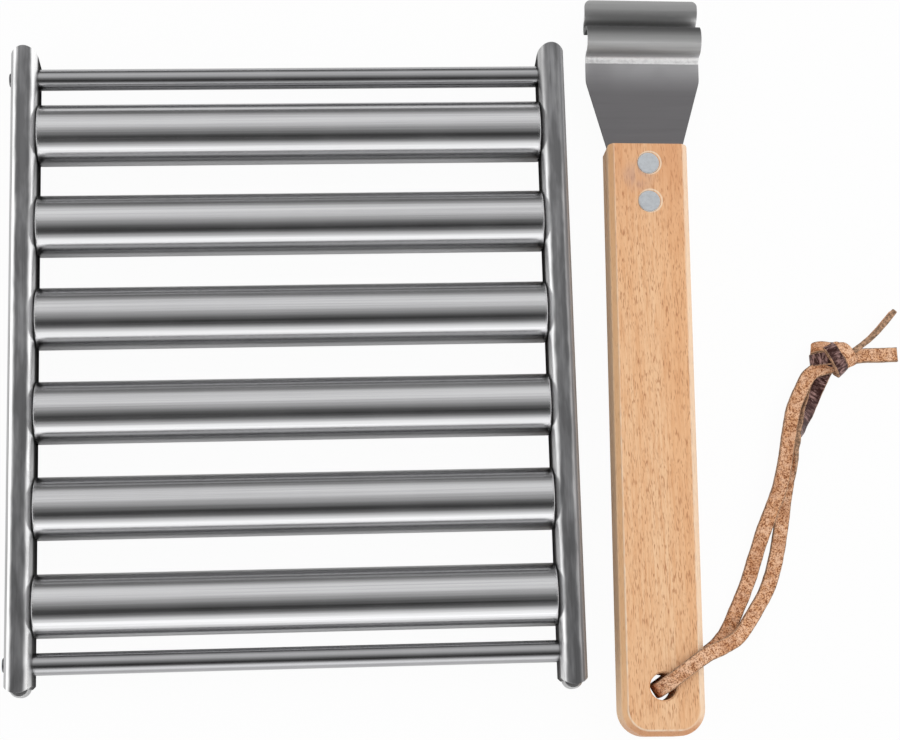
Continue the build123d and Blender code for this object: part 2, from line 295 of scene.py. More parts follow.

# Fades along the handle from the origin: painted light pales the plate, the crease's painted highlight begins
# and ends, the hook's painted shading begins
PLATE_FADE = (86.0 * MM, 97.2 * MM)
CREASE_START = (96.56 * MM, 96.86 * MM)
CREASE_END = (98.2 * MM, 98.7 * MM)
HOOK_START = (98.4 * MM, 99.0 * MM)

# Painted shading of the hook's sheet, its grey by millimetres from the origin: painted highlight on the hump,
# painted shade in the valley
HOOK_SHADING_LEVELS = [
    (98.7, 0.44), (99.5, 0.37), (100.4, 0.46), (101, 0.64), (101.6, 0.82), (102.5, 0.62), (103.3, 0.45),
    (104.2, 0.33), (105, 0.24), (106.4, 0.13), (107.4, 0.12), (110.9, 0.48), (111.7, 0.85),
    (112.6, 0.55), (114, 0.41), (117.3, 0.57),
]

# What the steel mirrors: angle about X from straight up, towards the viewer, and its brightness
STUDIO_BANDS = [
    (-115, 0.12), (-92, 0.13), (-76, 0.2), (-66, 0.45), (-58, 0.82), (-46, 1.0), (-24, 0.95),
    (-11, 0.6), (0, 0.4), (12, 0.18), (24, 0.03), (34, 0.06), (44, 0.28), (52, 0.75), (59, 1.15),
    (68, 1.6), (86, 1.6), (104, 0.9), (125, 0.4),
]

# The same to the left and right: angle from straight up, and brightness
SIDE_BANDS = [
    (0, 0.3), (38, 0.32), (50, 0.5), (60, 0.85), (72, 1.15), (80, 1.45), (87, 1.7), (102, 1.7),
    (115, 1.0),
]

# How far sideways the mirrored room passes from the first bands to the second
SIDE_FADE = (0.35, 0.75)

# Width of the picture in pixels, for which the focal length is given
PICTURE_WIDTH = 900

# How far the things round a point on the floor shade it
FLOOR_SHADE_REACH = 0.03

WHITE = (1.0, 1.0, 1.0, 1.0)


# Settings


def colour_property(name, place, default):
    description = "Colour of the " + place
    return bpy.props.FloatVectorProperty(
        name=name, description=description, default=default, subtype="COLOR", min=0.0, max=1.0
    )


def length_property(name, description, default):
    return bpy.props.FloatProperty(
        name=name, description=description, default=default, min=0.0, unit="LENGTH", precision=5
    )


def share_property(name, description, default):
    return bpy.props.FloatProperty(
        name=name, description=description, default=default, min=0.0, max=1.0, subtype="FACTOR"
    )


class SteelFinish(bpy.types.PropertyGroup):
    """Colours and polish of the rack's steel and the hook plate."""

    roller_colour: colour_property("Roller", "polished roller tubes", (0.65, 0.65, 0.66))
    roller_roughness: share_property("Roller roughness", "Blur of what the tubes reflect", 0.2)
    # The crown is painted dark and the flanks white: shaded and lit copies of one steel
    shaded_crown_colour: colour_property("Rail crown", "satin top of the rails", (0.2, 0.2, 0.205))
    lit_flank_colour: colour_property("Rail flank", "rails' bright flanks", (1.0, 1.0, 1.0))
    # Painted reflection of the handle on the right rail's outer flank
    handle_reflection_colour: colour_property("Dull flank", "flank beside the handle", (0.26, 0.26, 0.27))
    wall_colour: colour_property("Outer walls", "rails' outer walls", (0.5, 0.5, 0.505))
    # How bright the right rail's flank stays at its far end, darker there
    far_end_share: share_property("Worn end", "Brightness of the right rail's flank at its far end", 0.45)
    rail_roughness: share_property("Rail roughness", "Blur of what the crowns reflect", 0.34)
    flank_roughness: share_property("Flank roughness", "Blur of what the flanks reflect", 0.3)
    plug_colour: colour_property("Plug", "hand-ground rail plugs", (0.5, 0.5, 0.5))
    bar_colour: colour_property("Bar", "drawn end bars", (0.42, 0.42, 0.43))
    screw_colour: colour_property("Screw", "bar screws", (0.16, 0.16, 0.165))
    plate_colour: colour_property("Hook plate", "hook plate's sheet", (0.225, 0.219, 0.226))
    # Painted light that pales the plate next to its bends
    lit_front_colour: colour_property("Plate front", "plate next to its bends", (0.64, 0.635, 0.65))
    # Painted highlight along the crease
    crease_highlight_colour: colour_property("Crease", "crease at the hump's foot", (1.0, 1.0, 1.0))
    plate_roughness: share_property("Plate roughness", "Blur of what the plate reflects", 0.46)
    rivet_colour: colour_property("Rivet", "aluminium rivets", (0.75, 0.785, 0.82))


class GripFinish(bpy.types.PropertyGroup):
    """Colours of the beech grip."""

    wood_colour: colour_property("Wood", "beech between its pale bands", (0.93, 0.53, 0.275))
    pale_colour: colour_property("Pale bands", "paler growth bands", (0.99, 0.64, 0.375))
    fleck_colour: colour_property("Flecks", "short dark flecks", (0.5, 0.2, 0.08))
    warm_colour: colour_property("Far end", "wood towards the plate", (0.72, 0.32, 0.15))
    # Sides and bevels are painted paler than the wood, as painted light
    wall_colour: colour_property("Sides", "grip's sides", (1.0, 0.72, 0.45))
    side_colour: colour_property("Bevels", "grip's bevels", (1.0, 0.6, 0.31))
    # End grain, darkened further by painted shade
    end_grain_and_shade_colour: colour_property("End grain", "bevel across the grain", (0.62, 0.27, 0.13))
    # Painted highlight on the lit bevel, along the ridges and round the rivets
    pale_highlight_colour: colour_property("Rubbed", "edges that are rubbed pale", (1.0, 0.8, 0.6))
    stain_colour: colour_property("Stain", "steel stain by the front rivet", (0.6, 0.36, 0.27))
    fleck_length: length_property("Fleck length", "Length of a fleck along the grain", 0.0021)


class ThongSizes(bpy.types.PropertyGroup):
    """Sizes and colours of the leather thong."""

    lace_width: length_property("Lace width", "Width of the flat lace", 0.0045)
    lace_thickness: length_property("Lace thickness", "Thickness of the flat lace", 0.0018)
    over_length: length_property("Over strand", "Length of the strand over the grip", 0.135)
    under_length: length_property("Under strand", "Length of the strand under the grip", 0.13)
    suede_colour: colour_property("Suede", "rough flesh side", (0.9, 0.48, 0.245))
    peach_colour: colour_property("Pale suede", "flesh side's pale fibres", (1.0, 0.63, 0.41))
    speck_colour: colour_property("Specks", "specks in the flesh side", (0.27, 0.09, 0.035))
    grain_colour: colour_property("Grain", "smooth grain side", (0.04, 0.01, 0.008))
    # Worn creases with a painted sheen
    worn_sheen_colour: colour_property("Worn", "grain side's worn creases", (0.39, 0.23, 0.21))
    edge_colour: colour_property("Cut edge", "pale cut edges", (0.6, 0.36, 0.22))


class StudioSettings(bpy.types.PropertyGroup):
    """Camera, floor and light."""

    camera_place: bpy.props.FloatVectorProperty(
        name="Camera",
        description="Where the camera stands",
        default=(-0.0133637, -0.1123139, 0.604767),
        subtype="TRANSLATION",
        unit="LENGTH",
    )
    camera_turn: bpy.props.FloatVectorProperty(
        name="Camera turn",
        description="The camera's turns about X, Y and Z, from looking straight down",
        default=(0.1805, -0.0647, -0.0166),
        subtype="EULER",
        unit="ROTATION",
    )
    focal_pixels: bpy.props.FloatProperty(
        name="Focal length", description="Focal length in widths of one image pixel", default=1975.8
    )
    floor_colour: colour_property("Floor", "floor", (0.85, 0.85, 0.85))
    floor_size: length_property("Floor size", "Side of the square floor", 3.0)
    background_share: share_property("Background", "How far the floor shows as plain background", 0.96)
    sky_level: bpy.props.FloatProperty(
        name="Sky level", description="Strength of the soft light from all round", default=0.76, min=0.0
    )
    lamp_place: bpy.props.FloatVectorProperty(
        name="Lamp",
        description="Where the soft lamp hangs",
        default=(0.85, 0.3, 0.68),
        subtype="TRANSLATION",
        unit="LENGTH",
    )
    lamp_size: length_property("Lamp size", "Side of the square lamp", 0.7)
    lamp_power: bpy.props.FloatProperty(
        name="Lamp power", description="Power of the soft lamp", default=2.6, min=0.0, unit="POWER"
    )


# Shader nodes


def set_inputs(tree, node, values):
    """Sets a node's inputs by name or number, each to a plain value or to another node's output."""
    for key, value in values.items():
        if isinstance(value, bpy.types.NodeSocket):
            tree.links.new(value, node.inputs[key])
        else:
            node.inputs[key].default_value = value


def add_node(tree, kind, values=(), **settings):
    """Adds a node with its settings and the values of its inputs."""
    node = tree.nodes.new(kind)
    for key, value in settings.items():
        setattr(node, key, value)
    set_inputs(tree, node, dict(values))
    return node


def opaque(colour):
    return (*colour[:3], 1.0)


def tinted(colour, tint):
    """A colour times a tint: one share, or a share each for red, green and blue."""
    shares = tint if isinstance(tint, tuple) else (tint, tint, tint)
    return opaque([min(1.0, part * share) for part, share in zip(colour, shares)])


def new_material(name):
    """A material with a Principled shader. Returns the material, its node tree and the shader."""
    material = bpy.data.materials.new(name)
    material.use_nodes = True
    tree = material.node_tree
    return material, tree, tree.nodes["Principled BSDF"]


def object_place(tree, scale=(1, 1, 1), turn=(0, 0, 0)):
    """The point on the piece, scaled and turned, for a pattern."""
    place = add_node(tree, "ShaderNodeTexCoord").outputs["Object"]
    mapping = add_node(tree, "ShaderNodeMapping", {"Vector": place, "Scale": scale, "Rotation": turn})
    return mapping.outputs["Vector"]


def object_axes(tree, turn=(0, 0, 0)):
    """The point on the piece, turned, as separate outputs X, Y and Z."""
    return add_node(tree, "ShaderNodeSeparateXYZ", {"Vector": object_place(tree, turn=turn)}).outputs


def noise_value(tree, vector, scale=1.0, detail=2.0, roughness=0.5, distortion=0.0):
    values = {
        "Vector": vector,
        "Scale": scale,
        "Detail": detail,
        "Roughness": roughness,
        "Distortion": distortion,
    }
    return add_node(tree, "ShaderNodeTexNoise", values).outputs["Fac"]


def even_noise(tree, count, detail=2.0, roughness=0.5):
    """Noise with the same count of marks to the metre every way."""
    return noise_value(tree, object_place(tree), count, detail, roughness)


def grain_noise(tree, counts, detail=2.0, roughness=0.5, turn=(0, 0, 0)):
    """Noise with its own count of marks to the metre along each axis, as in a grain."""
    return noise_value(tree, object_place(tree, counts, turn), 1.0, detail, roughness)


def remap(tree, value, low, high, new_low=0.0, new_high=1.0, curve="LINEAR"):
    """A value's range carried to a new range, and held at its ends."""
    values = {"Value": value, "From Min": low, "From Max": high, "To Min": new_low, "To Max": new_high}
    return add_node(tree, "ShaderNodeMapRange", values, interpolation_type=curve).outputs["Result"]


def combine(tree, operation, first, second):
    return add_node(tree, "ShaderNodeMath", {0: first, 1: second}, operation=operation).outputs["Value"]


def absolute(tree, value):
    return combine(tree, "ABSOLUTE", value, 0.0)


def mix_colours(tree, share, first, second, blend="MIX"):
    """Mix of two colours. The node's colour inputs share their names with others, so they go by number."""
    values = {0: share, 6: first, 7: second}
    return add_node(tree, "ShaderNodeMix", values, data_type="RGBA", blend_type=blend).outputs[2]


def level_ramp(tree, value, levels, unit=1.0):
    """A grey by a value, from pairs of the value in a unit and its grey, straight between them."""
    first, last = levels[0][0], levels[-1][0]
    share = remap(tree, value, first * unit, last * unit)
    ramp = add_node(tree, "ShaderNodeValToRGB", {"Fac": share})
    stops = ramp.color_ramp.elements
    while len(stops) < len(levels):
        stops.new(0.5)
    for stop, (place, level) in zip(stops, levels):
        stop.position = (place - first) / (last - first)
        stop.color = (level, level, level, 1.0)
    return ramp.outputs["Color"]


def bump(tree, height, distance):
    return add_node(tree, "ShaderNodeBump", {"Height": height, "Distance": distance}).outputs["Normal"]


def brushed_steel(name, colour, roughness, grain, mottle=0.0, streak_depth=1.2e-6):
    """Metal with fine lines along the axis where grain is small, and soft patches of uneven polish."""
    material, tree, shader = new_material(name)
    lines = grain_noise(tree, grain, 3.0, 0.6)
    patches = even_noise(tree, 60.0, 3.0, 0.55)
    lined = mix_colours(tree, remap(tree, lines, 0.35, 0.65), tinted(colour, 0.82), opaque(colour))
    mottled = mix_colours(tree, remap(tree, patches, 0.45, 0.75, 0.0, mottle), lined, tinted(colour, 1.12))
    rough = remap(tree, lines, 0.3, 0.7, roughness * 0.8, roughness * 1.2)
    uneven = remap(tree, patches, 0.4, 0.7, -0.04 * mottle, 0.12 * mottle)
    set_inputs(tree, shader, {
        "Base Color": mottled,
        "Metallic": 1.0,
        "Roughness": combine(tree, "ADD", rough, uneven),
        "Normal": bump(tree, lines, streak_depth),
    })
    return material


def finish_nodes(nodes, material):
    """Gives CAD nodes a material in each of their slots."""
    for name in nodes:
        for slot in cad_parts[name].material_slots:
            slot.material = material


# Leather lace


def read_line(name, places):
    """Smooth line through a route: the points of a NURBS curve that has the places as its controls."""
    curve = bpy.data.curves.new(name, "CURVE")
    curve.dimensions = "3D"
    curve.resolution_u = 16
    spline = curve.splines.new("NURBS")
    spline.points.add(len(places) - 1)
    for control, place in zip(spline.points, places):
        control.co = (*place, 1.0)
    spline.order_u = 3
    spline.use_endpoint_u = True
    holder = bpy.data.objects.new(name, curve)
    line = bpy.data.meshes.new_from_object(holder)
    points = [vertex.co.copy() for vertex in line.vertices]
    bpy.data.meshes.remove(line)
    bpy.data.objects.remove(holder)
    bpy.data.curves.remove(curve)
    return points


class Route:
    """A smooth line with a flat strap's directions along it."""

    def __init__(self, name, places, across, level_share=1.0):
        self.points = read_line(name, places)
        self.distances = [0.0]
        for before, after in zip(self.points, self.points[1:]):
            self.distances.append(self.distances[-1] + (after - before).length)
        self.length = self.distances[-1]
        self.tangents = []
        last = len(self.points) - 1
        for index in range(last + 1):
            ahead = self.points[min(index + 1, last)]
            behind = self.points[max(index - 1, 0)]
            self.tangents.append((ahead - behind).normalized())
        self.across = self.carry(Vector(across), level_share)

    def carry(self, across, level_share):
        """Carries the strap's width along the line, and levels it where the line runs flat."""
        carried = []
        for tangent in self.tangents:
            across = (across - tangent * across.dot(tangent)).normalized()
            level = tangent.cross(Vector((0, 0, 1)))
            flatness = (level.length - LEVEL_FROM) / (1 - LEVEL_FROM)
            if flatness > 0 and level_share > 0:
                level.normalize()
                if level.dot(across) < 0:
                    level = -level
                across = across.lerp(level, min(1.0, flatness) * LEVEL_RATE * level_share).normalized()
            carried.append(across.copy())
        return carried

    def distance_past(self, y):
        """Distance along the line at which it first gets as far as a Y, past its first quarter."""
        for point, distance in zip(self.points, self.distances):
            if point.y >= y and distance > self.length / 4:
                return distance
        return self.length

    def at(self, distance):
        """Place, tangent and width direction at a distance along the line."""
        distance = min(max(distance, 0.0), self.length)
        index = 0
        while index < len(self.distances) - 2 and self.distances[index + 1] < distance:
            index += 1
        span = self.distances[index + 1] - self.distances[index]
        share = (distance - self.distances[index]) / span
        place = self.points[index].lerp(self.points[index + 1], share)
        tangent = self.tangents[index].lerp(self.tangents[index + 1], share).normalized()
        across = self.across[index].lerp(self.across[index + 1], share)
        across = (across - tangent * across.dot(tangent)).normalized()
        return place, tangent, across


def smooth_step(value):
    value = min(max(value, 0.0), 1.0)
    return value * value * (3 - 2 * value)


def turn_at(turns, distance):
    """The strap's own turn at a distance, from pairs of distance and angle, smooth between them."""
    for (start, first), (end, second) in zip(turns, turns[1:]):
        if distance <= end:
            return first + (second - first) * smooth_step((distance - start) / (end - start))
    return turns[-1][1]


def flat_lace(length, width, thickness):
    """A straight flat lace from the origin along X: a grid given its thickness, with eased rims."""
    mesh = bmesh.new()
    uv = mesh.loops.layers.uv.new("strap")
    steps = max(6, round(length / LACE_STEP))
    bmesh.ops.create_grid(mesh, x_segments=steps, y_segments=4, size=0.5)
    bmesh.ops.scale(mesh, vec=(length, width, 1.0), verts=mesh.verts)
    bmesh.ops.translate(mesh, vec=(length / 2, 0, thickness / 2), verts=mesh.verts)
    bmesh.ops.solidify(mesh, geom=list(mesh.faces), thickness=thickness)
    bmesh.ops.recalc_face_normals(mesh, faces=mesh.faces)
    for face in mesh.faces:
        face.material_index = SUEDE if face.normal.z > 0.5 else GRAIN if face.normal.z < -0.5 else EDGE
    rims = [edge for edge in mesh.edges if len({face.material_index for face in edge.link_faces}) == 2]
    bmesh.ops.bevel(mesh, geom=rims, offset=thickness * LACE_RIM, segments=2, profile=0.5, affect="EDGES",
                    material=EDGE)
    for face in mesh.faces:
        face.smooth = True
        for loop in face.loops:
            along, side, height = loop.vert.co * UV_SCALE
            loop[uv].uv = (along, side + (height if face.material_index == EDGE else 0))
    return mesh


def lace_mesh(name, route, width, thickness, turns=UNTURNED, waver=LACE_WAVER):
    """Flat lace carried onto a route, with its own turns, a wavering edge and a slight hollow."""
    mesh = flat_lace(route.length, width, thickness)
    for vertex in mesh.verts:
        distance, side, height = vertex.co
        place, tangent, across = route.at(distance)
        across = Matrix.Rotation(turn_at(turns, distance), 3, tangent) @ across
        up = across.cross(tangent)
        seed = Vector((distance * WAVER_ALONG, side * WAVER_ACROSS, route.length / MM))
        fine_waver = FINE_WAVER_SHARE * noise.noise(seed * FINE_WAVER_COUNT)
        spread = 1 + waver * (noise.noise(seed) + fine_waver)
        lift = height * (1 + LACE_SWELL * noise.noise(seed * 1.7 + Vector((5, 0, 0))))
        hollow = LACE_HOLLOW * thickness * (2 * side / width) ** 2
        vertex.co = place + across * side * spread + up * (lift + hollow)
    return finish_mesh(name, mesh)


def finish_mesh(name, mesh):
    """Turns a bmesh into a piece of the scene, with its place in its mesh."""
    bmesh.ops.recalc_face_normals(mesh, faces=mesh.faces)
    data = bpy.data.meshes.new(name)
    mesh.to_mesh(data)
    mesh.free()
    piece = bpy.data.objects.new(name, data)
    bpy.context.scene.collection.objects.link(piece)
    return piece


def knot_core():
    """Mesh of the rounded core that shows between the knot's turns."""
    mesh = bmesh.new()
    bmesh.ops.create_uvsphere(mesh, u_segments=32, v_segments=16, radius=0.5)
    for vertex in mesh.verts:
        vertex.co *= 1 + KNOT_CORE_LUMPS * noise.noise(vertex.co * KNOT_CORE_LUMP_COUNT)
    bmesh.ops.scale(mesh, vec=KNOT_CORE_SIZE, verts=mesh.verts)
    bmesh.ops.translate(mesh, vec=thong_places([KNOT_CORE_PLACE])[0], verts=mesh.verts)
    uv = mesh.loops.layers.uv.new("strap")
    for face in mesh.faces:
        face.smooth = True
        face.material_index = GRAIN
        for loop in face.loops:
            loop[uv].uv = loop.vert.co.xy * UV_SCALE
    return finish_mesh("thong_knot_core", mesh)


def strap_place(tree, scale):
    """The point along and across a strap, from its own UV map."""
    place = add_node(tree, "ShaderNodeUVMap", uv_map="strap").outputs["UV"]
    return add_node(tree, "ShaderNodeMapping", {"Vector": place, "Scale": scale}).outputs["Vector"]


def suede_material(thong):
    """Rough flesh side: tan and peach fibres with brown patches and dark specks."""
    material, tree, shader = new_material("thong suede side")
    specks = even_noise(tree, 1900.0, 3.0, 0.75)
    broad = even_noise(tree, 480.0, 3.0, 0.65)
    patches = even_noise(tree, 130.0)
    ground = mix_colours(tree, remap(tree, broad, 0.38, 0.6), opaque(thong.suede_colour),
                         opaque(thong.peach_colour))
    ground = mix_colours(tree, remap(tree, patches, 0.45, 0.68, 0.0, 0.5), ground,
                         tinted(thong.suede_colour, (0.62, 0.48, 0.4)))
    marks = combine(tree, "ADD", remap(tree, specks, 0.45, 0.57), remap(tree, broad, 0.3, 0.7, 0.3, -0.55))
    set_inputs(tree, shader, {
        "Base Color": mix_colours(tree, marks, ground, opaque(thong.speck_colour)),
        "Roughness": 0.9,
        "Specular IOR Level": 0.25,
        "Normal": bump(tree, specks, 0.3 * MM),
    })
    return material


def grain_material(thong):
    """Smooth dark side, with creases across the lace that wear and a painted sheen make pale here and there.
    """
    material, tree, shader = new_material("thong smooth side")
    creases = noise_value(tree, strap_place(tree, (16, 4, 1)), 1.0, 3.0, 0.65, distortion=0.5)
    sheen_patches = even_noise(tree, 300.0)
    toned = combine(tree, "MULTIPLY", remap(tree, creases, 0.44, 0.62), remap(tree, sheen_patches, 0.36, 0.56))
    set_inputs(tree, shader, {
        "Base Color": mix_colours(tree, toned, opaque(thong.grain_colour), opaque(thong.worn_sheen_colour)),
        "Roughness": remap(tree, creases, 0.3, 0.7, 0.26, 0.5),
        "Specular IOR Level": 0.22,
        "Normal": bump(tree, creases, 0.4 * MM),
    })
    return material


def edge_material(thong):
    """Pale cut edge with darker fibres."""
    material, tree, shader = new_material("thong cut edge")
    fibres = even_noise(tree, 1100.0, 3.0, 0.7)
    set_inputs(tree, shader, {
        "Base Color": mix_colours(tree, remap(tree, fibres, 0.38, 0.62), opaque(thong.edge_colour),
                                  tinted(thong.edge_colour, 0.3)),
        "Roughness": 0.85,
        "Normal": bump(tree, fibres, 0.2 * MM),
    })
    return material


def leather_materials(thong):
    """The three materials of a lace, made once, in the order of its face numbers."""
    names = ("thong suede side", "thong smooth side", "thong cut edge")
    if names[0] not in bpy.data.materials:
        suede_material(thong)
        grain_material(thong)
        edge_material(thong)
    return [bpy.data.materials[name] for name in names]


def dress_lace(piece, thong):
    """Gives a piece of the thong its materials and lets it move with the handle."""
    for material in leather_materials(thong):
        piece.data.materials.append(material)
    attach(piece, "handle")
    return piece


def thong_places(route):
    """A route's points on the table, from their places past the hang hole in millimetres."""
    return [HANG_HOLE + Vector([part * MM for part in point]) for point in route]


class TieKnot(bpy.types.Operator):
    """Makes the knot: its turns of lace about a rounded core"""

    bl_idname = "roller_rack.tie_knot"
    bl_label = "Knot"

    def execute(self, context):
        thong = context.scene.rack_thong
        thickness = thong.lace_thickness * KNOT_TURN_THINNING
        for name, (across, width, places) in KNOT_TURNS.items():
            route = Route(name + " route", thong_places(places), across, 0.0)
            dress_lace(lace_mesh(name, route, width * MM, thickness, waver=KNOT_TURN_WAVER), thong)
        core = dress_lace(knot_core(), thong)
        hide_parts("thong_knot")
        return {"FINISHED"}


class MakeThong(bpy.types.Operator):
    """Makes the leather thong: its two strands and its two tails"""

    bl_idname = "roller_rack.make_thong"
    bl_label = "Leather thong"

    def execute(self, context):
        thong = context.scene.rack_thong
        width, thickness = thong.lace_width, thong.lace_thickness
        over = Route("over route", thong_places(OVER_ROUTE), HOLE_ACROSS)
        under = Route("under route", thong_places(UNDER_ROUTE), HOLE_ACROSS)
        flat_tail = Route("flat tail route", thong_places(FLAT_TAIL_ROUTE), (0.2, -0.98, 0))
        thin_tail = Route("thin tail route", thong_places(THIN_TAIL_ROUTE), (0, 0, 1), 0.0)
        twist = [(over.distance_past(HANG_HOLE.y + y * MM), math.radians(turn)) for y, turn in OVER_TWIST]
        laces = {
            "thong_over": lace_mesh("thong_over", over, width, thickness, twist),
            "thong_under": lace_mesh("thong_under", under, width, thickness),
            "thong_flat_end": lace_mesh("thong_flat_end", flat_tail, width, thickness),
            "thong_thin_end": lace_mesh("thong_thin_end", thin_tail, width, thickness),
        }
        for piece in laces.values():
            dress_lace(piece, thong)
        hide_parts("thong_over_strand")
        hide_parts("thong_under_strand")
        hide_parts("thong_flat_tail")
        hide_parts("thong_thin_tail")
        return {"FINISHED"}


# Rack and handle


class FinishRollers(bpy.types.Operator):
    """Gives the six rollers their polished steel"""

    bl_idname = "roller_rack.finish_rollers"
    bl_label = "Rollers"

    def execute(self, context):
        steel = context.scene.rack_steel
        colour, roughness = steel.roller_colour, steel.roller_roughness
        polished = brushed_steel("roller steel", colour, roughness, ROLLER_LINES, mottle=0.15)
        ground = brushed_steel("roller end steel", colour, roughness + 0.06, GROUND_MARKS, mottle=0.3)
        for number in ROLLERS:
            finish_nodes([f"roller_{number}_tube"], polished)
            finish_nodes([f"roller_{number}_left_cap", f"roller_{number}_right_cap"], ground)
        return {"FINISHED"}


def flank_colours(tree, steel, inward, along, outward, beside_handle, lines):
    """Flanks painted bright as a painted highlight, darker towards the far end beside the handle, with the
    handle's painted reflection on the outer flank, and the outer wall below them.
    """
    # The right rail's flank darker towards its far end
    ended = remap(tree, along, *FAR_END_FADE, 0.0, beside_handle)
    toned = tinted(steel.lit_flank_colour, steel.far_end_share)
    flanks = mix_colours(tree, ended, opaque(steel.lit_flank_colour), toned)
    flanks = mix_colours(tree, outward, flanks, opaque(steel.handle_reflection_colour))
    wall = mix_colours(tree, remap(tree, lines, 0.3, 0.7), opaque(steel.wall_colour),
                       tinted(steel.wall_colour, 0.8))
    return mix_colours(tree, remap(tree, inward, *OUTER_WALL_FADE, 1.0, 0.0), flanks, wall)


def inner_wall_shade(tree, inward, along, height):
    """White but on the inner wall, where painted shade darkens it towards its foot and painted light lifts it
    near one end.
    """
    wall = level_ramp(tree, height, WALL_SHADE_LEVELS, MM)
    lifted = remap(tree, along, *WALL_LIFT_FADE, 0.3, 0.0)
    wall = mix_colours(tree, lifted, wall, WALL_LIFT_GREY)
    return mix_colours(tree, remap(tree, inward, *INNER_WALL_FADE), WHITE, wall)


def rail_material(name, steel):
    """Bent sheet: satin along its crown, painted dark there and painted bright on its shoulders as shaded and
    lit copies of one steel, with painted shade towards the foot of its inner wall.
    """
    material, tree, shader = new_material(name.replace("_", " ") + " steel")
    low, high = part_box(name)
    towards_rollers, beside_handle = (1.0, 0.0) if name == "left_rail" else (-1.0, 1.0)
    place = object_axes(tree)
    inward = combine(tree, "SUBTRACT", place["X"], (low[0] + high[0]) / 2)
    inward = combine(tree, "MULTIPLY", inward, towards_rollers)
    # Painted reflection of the handle: the right rail's outer flank darker and rougher
    outward = remap(tree, inward, *OUTER_FLANK_FADE, beside_handle, 0.0)
    patches = grain_noise(tree, RAIL_PATCHES, 3.0, 0.55)
    lines = grain_noise(tree, RAIL_LINES, 2.0, 0.6)
    reach = absolute(tree, combine(tree, "SUBTRACT", inward, CROWN_SHIFT))
    reach = combine(tree, "ADD", reach, remap(tree, patches, 0.3, 0.7, -CROWN_WANDER, CROWN_WANDER))
    flank = remap(tree, reach, *CROWN_EDGE, curve="SMOOTHSTEP")
    # Painted shade and highlight: the crown's dark steel beside the flanks' white steel
    crown = mix_colours(tree, remap(tree, patches, 0.4, 0.68, 0.0, 0.9), opaque(steel.shaded_crown_colour),
                        tinted(steel.shaded_crown_colour, 2.0))
    flanks = flank_colours(tree, steel, inward, place["Y"], outward, beside_handle, lines)
    colour = mix_colours(tree, flank, crown, flanks)
    colour = mix_colours(tree, remap(tree, lines, 0.5, 0.75, 0.0, 0.35), colour,
                         tinted(steel.shaded_crown_colour, 0.55))
    shade = inner_wall_shade(tree, inward, place["Y"], place["Z"])
    rough = remap(tree, flank, 0.0, 1.0, steel.rail_roughness, steel.flank_roughness)
    rough = combine(tree, "ADD", rough, combine(tree, "MULTIPLY", outward, 0.25))
    set_inputs(tree, shader, {
        "Base Color": mix_colours(tree, 1.0, colour, shade, "MULTIPLY"),
        "Metallic": 1.0,
        "Roughness": combine(tree, "ADD", rough, remap(tree, lines, 0.3, 0.7, -0.03, 0.05)),
        "Specular Tint": shade,
        "Normal": bump(tree, lines, 1.5e-6),
    })
    return material


class FinishFrame(bpy.types.Operator):
    """Gives the rails, plugs, end bars and screws their steel"""

    bl_idname = "roller_rack.finish_frame"
    bl_label = "Rails and bars"

    def execute(self, context):
        steel = context.scene.rack_steel
        plug = brushed_steel("plug steel", steel.plug_colour, 0.4, PLUG_MARKS, mottle=1.0, streak_depth=4e-6)
        bar = brushed_steel("bar steel", steel.bar_colour, 0.2, BAR_LINES, mottle=0.3)
        screw = brushed_steel("screw steel", steel.screw_colour, 0.3, GROUND_MARKS, mottle=0.5)
        for name in RAILS:
            finish_nodes([name], rail_material(name, steel))
        finish_nodes(PLUGS, plug)
        finish_nodes(BARS, bar)
        finish_nodes(SCREWS, screw)
        return {"FINISHED"}


def grip_place(tree):
    """The point on the grip from its middle: how far to the right, and how far towards its near end."""
    low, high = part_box("handle_grip")
    middle = Matrix.Rotation(HANDLE_TURN[2], 3, "Z") @ ((Vector(low) + Vector(high)) / 2)
    place = object_axes(tree, HANDLE_TURN)
    return combine(tree, "SUBTRACT", place["X"], middle.x), combine(tree, "SUBTRACT", middle.y, place["Y"])


def outline_distance(tree, across, along):
    """How far a point is outside the grip's outline, seen from above. Its far end is left open."""
    beyond_x = combine(tree, "SUBTRACT", absolute(tree, across), GRIP_WIDTH / 2 - GRIP_CORNER)
    beyond_y = combine(tree, "SUBTRACT", along, GRIP_LENGTH / 2 - GRIP_CORNER)
    corner = {"X": combine(tree, "MAXIMUM", beyond_x, 0.0), "Y": combine(tree, "MAXIMUM", beyond_y, 0.0)}
    corner = add_node(tree, "ShaderNodeCombineXYZ", corner).outputs["Vector"]
    rounded = add_node(tree, "ShaderNodeVectorMath", {0: corner}, operation="LENGTH").outputs["Value"]
    inside = combine(tree, "MINIMUM", combine(tree, "MAXIMUM", beyond_x, beyond_y), 0.0)
    return combine(tree, "SUBTRACT", combine(tree, "ADD", rounded, inside), GRIP_CORNER)


def spot_distance(tree, across, along, spot):
    """Distance from a spot on the grip, seen from above."""
    place = add_node(tree, "ShaderNodeCombineXYZ", {"X": across, "Y": along}).outputs["Vector"]
    values = {0: place, 1: (*spot, 0.0)}
    return add_node(tree, "ShaderNodeVectorMath", values, operation="DISTANCE").outputs["Value"]


